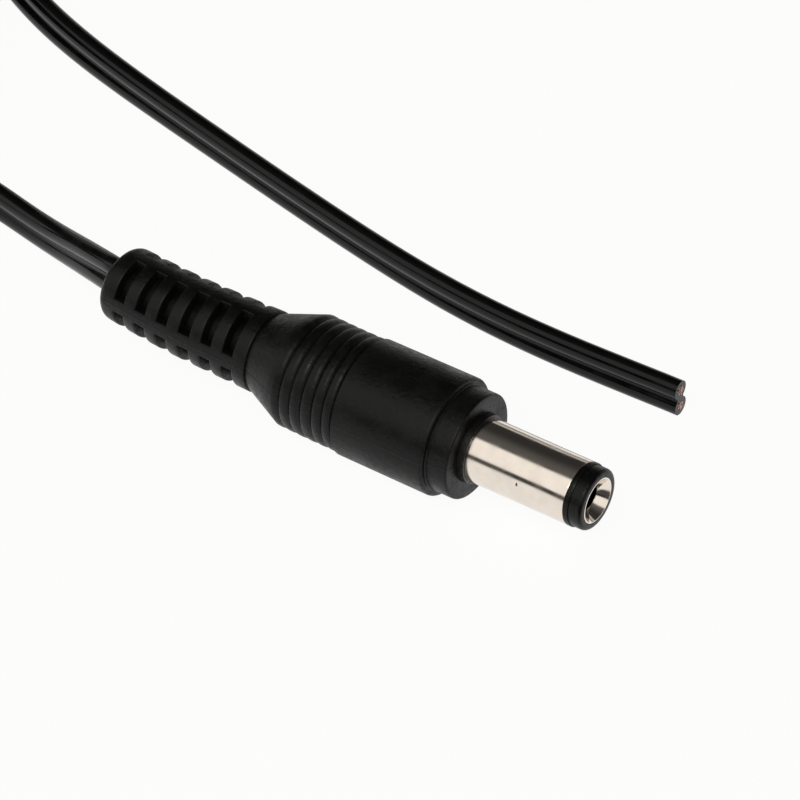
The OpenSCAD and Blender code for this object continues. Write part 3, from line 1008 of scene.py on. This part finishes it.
@dataclass
class Overmould:
    """The flexible outer moulding: collar, body, grip rings, cone and slotted sleeve."""

    collar_d: float = 9.1
    collar_len: float = 2.0
    collar_edge: float = 0.2
    body_d: float = 10.2
    body_draft: float = 0.1
    body_len: float = 8.9
    body_edge: float = 0.3
    rings: int = 6
    ring_pitch: float = 0.98
    ring_d: float = 9.84
    ring_depth: float = 0.24
    cone_len: float = 3.5
    cone_d: float = 6.7
    sleeve_len: float = 14.7
    sleeve_d: float = 7.05
    sleeve_end_d: float = 6.4
    sleeve_edge: float = 0.7
    slots: int = 6
    bars: int = 4
    slot_pitch: float = 2.13
    slot_start: float = 2.2
    slot_w: float = 1.0
    slot_core_d: float = 4.4
    neck_d: float = 6.0
    slot_bevel: float = 0.14
    segments: int = 96
    bar_segments: int = 3
    offset: float = 0.3
    offset_from: float = -13.0
    offset_over: float = 8.0
    pull: float = 0.75
    pull_from: float = -26.0
    pull_over: float = 9.0
    pull_power: float = 1.7

    def stations(self) -> dict[str, float]:
        """Find where each part of the moulding starts and ends.

        Returns:
            Places along the axis by name.
        """
        body_front = -self.collar_len
        body_rear = body_front - self.body_len
        rings_rear = body_rear - self.rings * self.ring_pitch
        neck = rings_rear - self.cone_len
        return {
            "body_front": body_front, "body_rear": body_rear, "rings_rear": rings_rear,
            "neck": neck, "rear": neck - self.sleeve_len,
        }

    def sleeve_r(self, x: float) -> float:
        """Radius of the drafted sleeve at a place along the axis."""
        part = (x - self.stations()["rear"]) / self.sleeve_len
        return (self.sleeve_end_d + (self.sleeve_d - self.sleeve_end_d) * part) / 2

    def slot_places(self) -> list[float]:
        """Middles of the slot rings along the axis."""
        rear = self.stations()["rear"]
        return [rear + self.slot_start + i * self.slot_pitch for i in range(self.slots)]

    def outline(self) -> list[Point]:
        """Half outline of the moulding, from the middle of its rear to its front opening.

        Returns:
            The outline's points.
        """
        at = self.stations()
        rear, neck = at["rear"], at["neck"]
        edge = self.sleeve_edge
        hub, lip, pocket, into_ring = 1.6, 0.12, 0.9, 0.35
        points = [(rear, 0.0), (rear, hub)]
        points += arc((rear + edge, self.sleeve_r(rear) - edge), edge, 180.0, 90.0, 6)
        for x in self.slot_places():
            for place in (x - self.slot_w / 2, x + self.slot_w / 2):
                points.append((place, self.sleeve_r(place)))
        points += arc((neck - lip, self.sleeve_d / 2 - lip), lip, 90.0, 0.0, 3)
        points.append((neck + 0.02, self.cone_d / 2))
        valley = self.ring_d / 2 - self.ring_depth
        cone_top = self.ring_d / 2 - self.ring_depth * 0.1
        cone_low, cone_run = self.cone_d / 2, at["rings_rear"] + into_ring - neck
        points += [(neck + cone_run * t, cone_low + (cone_top - cone_low) * t) for t in (0.25, 0.5, 0.75)]
        steps, joined = 10, 4
        for i in range(self.rings):
            for j in range(joined if i == 0 else 0, steps):
                t = j / steps
                x = at["rings_rear"] + (i + t) * self.ring_pitch
                points.append((x, self.ring_d / 2 - self.ring_depth * abs(2 * t - 1) ** 3))
        body_r, collar_r, neck_r = self.body_d / 2, self.collar_d / 2, self.neck_d / 2
        front, back = at["body_front"], at["body_rear"]
        points += [(back, valley), (back + 0.06, valley + 0.15)]
        points += [(back + 0.16, body_r - self.body_draft / 2)]
        points += arc((front - self.body_edge, body_r - self.body_edge), self.body_edge, 90.0, 0.0, 5)
        points += [(front, collar_r + 0.1), (front + 0.1, collar_r)]
        points += arc((-self.collar_edge, collar_r - self.collar_edge), self.collar_edge, 90.0, 0.0, 4)
        points += [(0.0, neck_r + 0.01), (-0.01, neck_r), (-pocket, neck_r), (-pocket, 0.0)]
        return points

    def cut_slots(self, bm: bmesh.types.BMesh) -> None:
        """Sink the windows between the bars of the sleeve and round their outer rims.

        Args:
            bm: the turned moulding.
        """
        step = 360.0 / self.segments
        share = self.segments // self.bars
        floor_r = self.slot_core_d / 2 * MM
        reach, outside, steep = self.slot_w * 0.3, floor_r * 1.2, 0.5
        for x in self.slot_places():
            for side in range(self.bars):
                low = (side * share + self.bar_segments) * step
                high = ((side + 1) * share - self.bar_segments) * step
                window = []
                for face in bm.faces:
                    middle = face.calc_center_median()
                    if abs(middle.x / MM - x) > reach:
                        continue
                    if math.hypot(middle.y, middle.z) < outside:
                        continue
                    angle = math.degrees(math.atan2(middle.z, middle.y)) % 360.0
                    if low < angle < high and abs(face.normal.x) < steep:
                        window.append(face)
                sunk = bmesh.ops.extrude_face_region(bm, geom=window)["geom"]
                bmesh.ops.delete(bm, geom=window, context="FACES_ONLY")
                moved = [g for g in sunk if isinstance(g, bmesh.types.BMVert)]
                for vert in moved:
                    scale = floor_r / math.hypot(vert.co.y, vert.co.z)
                    vert.co.y *= scale
                    vert.co.z *= scale
        at = self.stations()
        rear, neck = at["rear"] + 1.0, at["neck"] - 1.0
        least_turn, least_r, most_slope = math.radians(60.0), self.slot_core_d / 2 + 0.3, 0.2
        rims = []
        for edge in bm.edges:
            if len(edge.link_faces) != 2 or edge.calc_face_angle(0.0) < least_turn:
                continue
            radius = [math.hypot(v.co.y, v.co.z) / MM for v in edge.verts]
            x = sum(v.co.x for v in edge.verts) / 2 / MM
            if rear < x < neck and min(radius) > least_r and abs(radius[0] - radius[1]) < most_slope:
                rims.append(edge)
        bmesh.ops.bevel(
            bm, geom=rims, offset=self.slot_bevel * MM, offset_type="OFFSET", affect="EDGES",
            segments=3, profile=0.5, material=-1, clamp_overlap=True,
        )

    def sideways(self, x: float) -> float:
        """Sideways place of the moulding's middle, which the lead pulls over at the rear.

        Args:
            x: place along the axis.

        Returns:
            The sideways offset.
        """
        part = min(max((self.offset_from - x) / self.offset_over, 0.0), 1.0)
        rear = max((self.pull_from - x) / self.pull_over, 0.0)
        return self.offset * eased_share(part) + self.pull * rear**self.pull_power

    def bend(self, bm: bmesh.types.BMesh) -> None:
        """Lay the moulding along its centre line.

        Args:
            bm: the straight moulding.
        """
        span = 0.1
        for vert in bm.verts:
            x, across = vert.co.x / MM, vert.co.y
            turn = math.atan((self.sideways(x - span / 2) - self.sideways(x + span / 2)) / span)
            vert.co.x += across * math.sin(turn)
            vert.co.y = self.sideways(x) * MM + across * math.cos(turn)

    def build(self) -> None:
        """Make the moulding."""
        bm = lathe(self.outline(), self.segments)
        self.cut_slots(bm)
        self.bend(bm)
        bmesh.ops.recalc_face_normals(bm, faces=bm.faces)
        fitted(finished(bm, "outer_moulding", 40.0), Look.MOULDING, "moulding", "overmould")


@dataclass
class Contacts:
    """The turned metal contacts, the insulator between them and the neck behind them."""

    barrel_d: float = 5.5
    barrel_wall: float = 0.4
    barrel_len: float = 11.5
    tip_len: float = 1.6
    tip_d: float = 5.3
    tip_step: float = 0.45
    tip_edge: float = 0.35
    root_d: float = 5.1
    root_len: float = 3.2
    flange_d: float = 6.9
    flange_t: float = 0.6
    neck_proud: float = 0.6
    sleeve_d: float = 4.6
    channel_d: float = 3.2
    bore_d: float = 2.5
    bore_depth: float = 9.6
    mouth_d: float = 4.0
    mouth_depth: float = 0.9
    mouth_land: float = 0.12
    contact_wall: float = 0.3
    contact_rear: float = -4.7
    tail: Triple = (5.0, 1.6, 0.3)
    tail_at: Triple = (-7.2, 0.0, -0.27)
    segments: int = 128

    def barrel(self) -> None:
        """Make the sleeve contact."""
        front = self.barrel_len - self.tip_len
        rear, flange_r, root_r = -self.root_len, self.flange_d / 2, self.root_d / 2
        r, hole = self.barrel_d / 2, self.barrel_d / 2 - self.barrel_wall
        edge = 0.06
        outline = [(rear, hole), (rear, flange_r), (rear + self.flange_t, flange_r)]
        outline += [(rear + self.flange_t, root_r), (self.neck_proud - 0.02, root_r)]
        outline += [(self.neck_proud + 0.02, r)]
        outline += [(front * t + self.neck_proud * (1 - t), r) for t in (0.25, 0.5, 0.75)]
        outline += arc((front - edge, r - edge), edge, 90.0, 0.0, 3)
        outline += [(front, hole), (rear, hole)]
        piece = finished(lathe(outline, self.segments), "sleeve_contact")
        fitted(piece, Look.SLEEVE, "sleeve_contact", "barrel")

    def insulator(self) -> None:
        """Make the insulator with the ring that closes the tip."""
        rear, tip = -self.root_len, self.barrel_len
        start = tip - self.tip_len + 0.03
        step, edge = tip - self.tip_len + self.tip_step, 0.05
        r, ring = self.barrel_d / 2, self.tip_d / 2
        sleeve_r, channel_r, mouth_r = self.sleeve_d / 2, self.channel_d / 2, self.mouth_d / 2 + 0.02
        outline = [(rear, channel_r), (rear, sleeve_r), (start, sleeve_r)]
        outline += [(start, r - 0.04), (start + 0.04, r)]
        outline += arc((step - edge, r - edge), edge, 90.0, 0.0, 2)
        outline += [(step, ring)]
        outline += arc((tip - self.tip_edge, ring - self.tip_edge), self.tip_edge, 90.0, 0.0, 8)
        outline += [(tip, mouth_r), (tip - 0.2, mouth_r), (tip - 1.2, channel_r), (rear, channel_r)]
        piece = finished(lathe(outline, self.segments), "insulator_ring")
        fitted(piece, Look.INSULATOR, "insulator", "tip_insulator")

    def centre(self) -> None:
        """Make the centre contact with its flared rim and solder tail."""
        tip, r_bore, r_rim = self.barrel_len, self.bore_d / 2, self.mouth_d / 2
        r = r_bore + self.contact_wall
        flare, edge = tip - self.mouth_depth, 0.06
        outline = [(self.contact_rear, 0.0), (self.contact_rear, r), (flare, r), (tip - 0.2, r_rim - 0.02)]
        outline += arc((tip - edge, r_rim - edge), edge, 90.0, 0.0, 3)
        outline += [(tip, r_rim - self.mouth_land), (tip - 0.03, r_rim - self.mouth_land - 0.03)]
        outline += [(flare + 0.03, r_bore + 0.02), (flare - 0.03, r_bore)]
        outline += [(tip - self.bore_depth, r_bore), (tip - self.bore_depth, 0.0)]
        bm = lathe(outline, self.segments)
        tail = bmesh.ops.create_cube(bm, size=1.0)["verts"]
        bmesh.ops.scale(bm, vec=Vector(self.tail) * MM, verts=tail)
        bmesh.ops.translate(bm, vec=Vector(self.tail_at) * MM, verts=tail)
        fitted(finished(bm, "pin_socket"), Look.CENTRE, "centre_contact", "centre_contact")

    def hidden(self) -> None:
        """Dress the pieces inside the moulding, which keep their CAD shape."""
        looks = {
            "inner_mould": Look.INNER, "rear_washer": Look.INSULATOR, "sleeve_lug": Look.TERMINAL,
            "cable_in_plug": Look.JACKET, "conductor_sleeve": Look.COPPER,
            "conductor_centre": Look.COPPER, "solder_sleeve": Look.SOLDER, "solder_centre": Look.SOLDER,
        }
        for name, look in looks.items():
            look.value.dress(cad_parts[name])
            LOG.info("%s: dressed with %s", name, look.value.name)

    def build(self) -> None:
        """Make the contacts and dress what lies behind them."""
        self.barrel()
        self.insulator()
        self.centre()
        self.hidden()


def main() -> None:
    """Build the studio, the lead and the plug in order."""
    logging.basicConfig(level=logging.INFO, format="%(message)s")
    Studio().set_up()
    Lead().build()
    Overmould().build()
    Contacts().build()


if __name__ == "__main__":
    main()
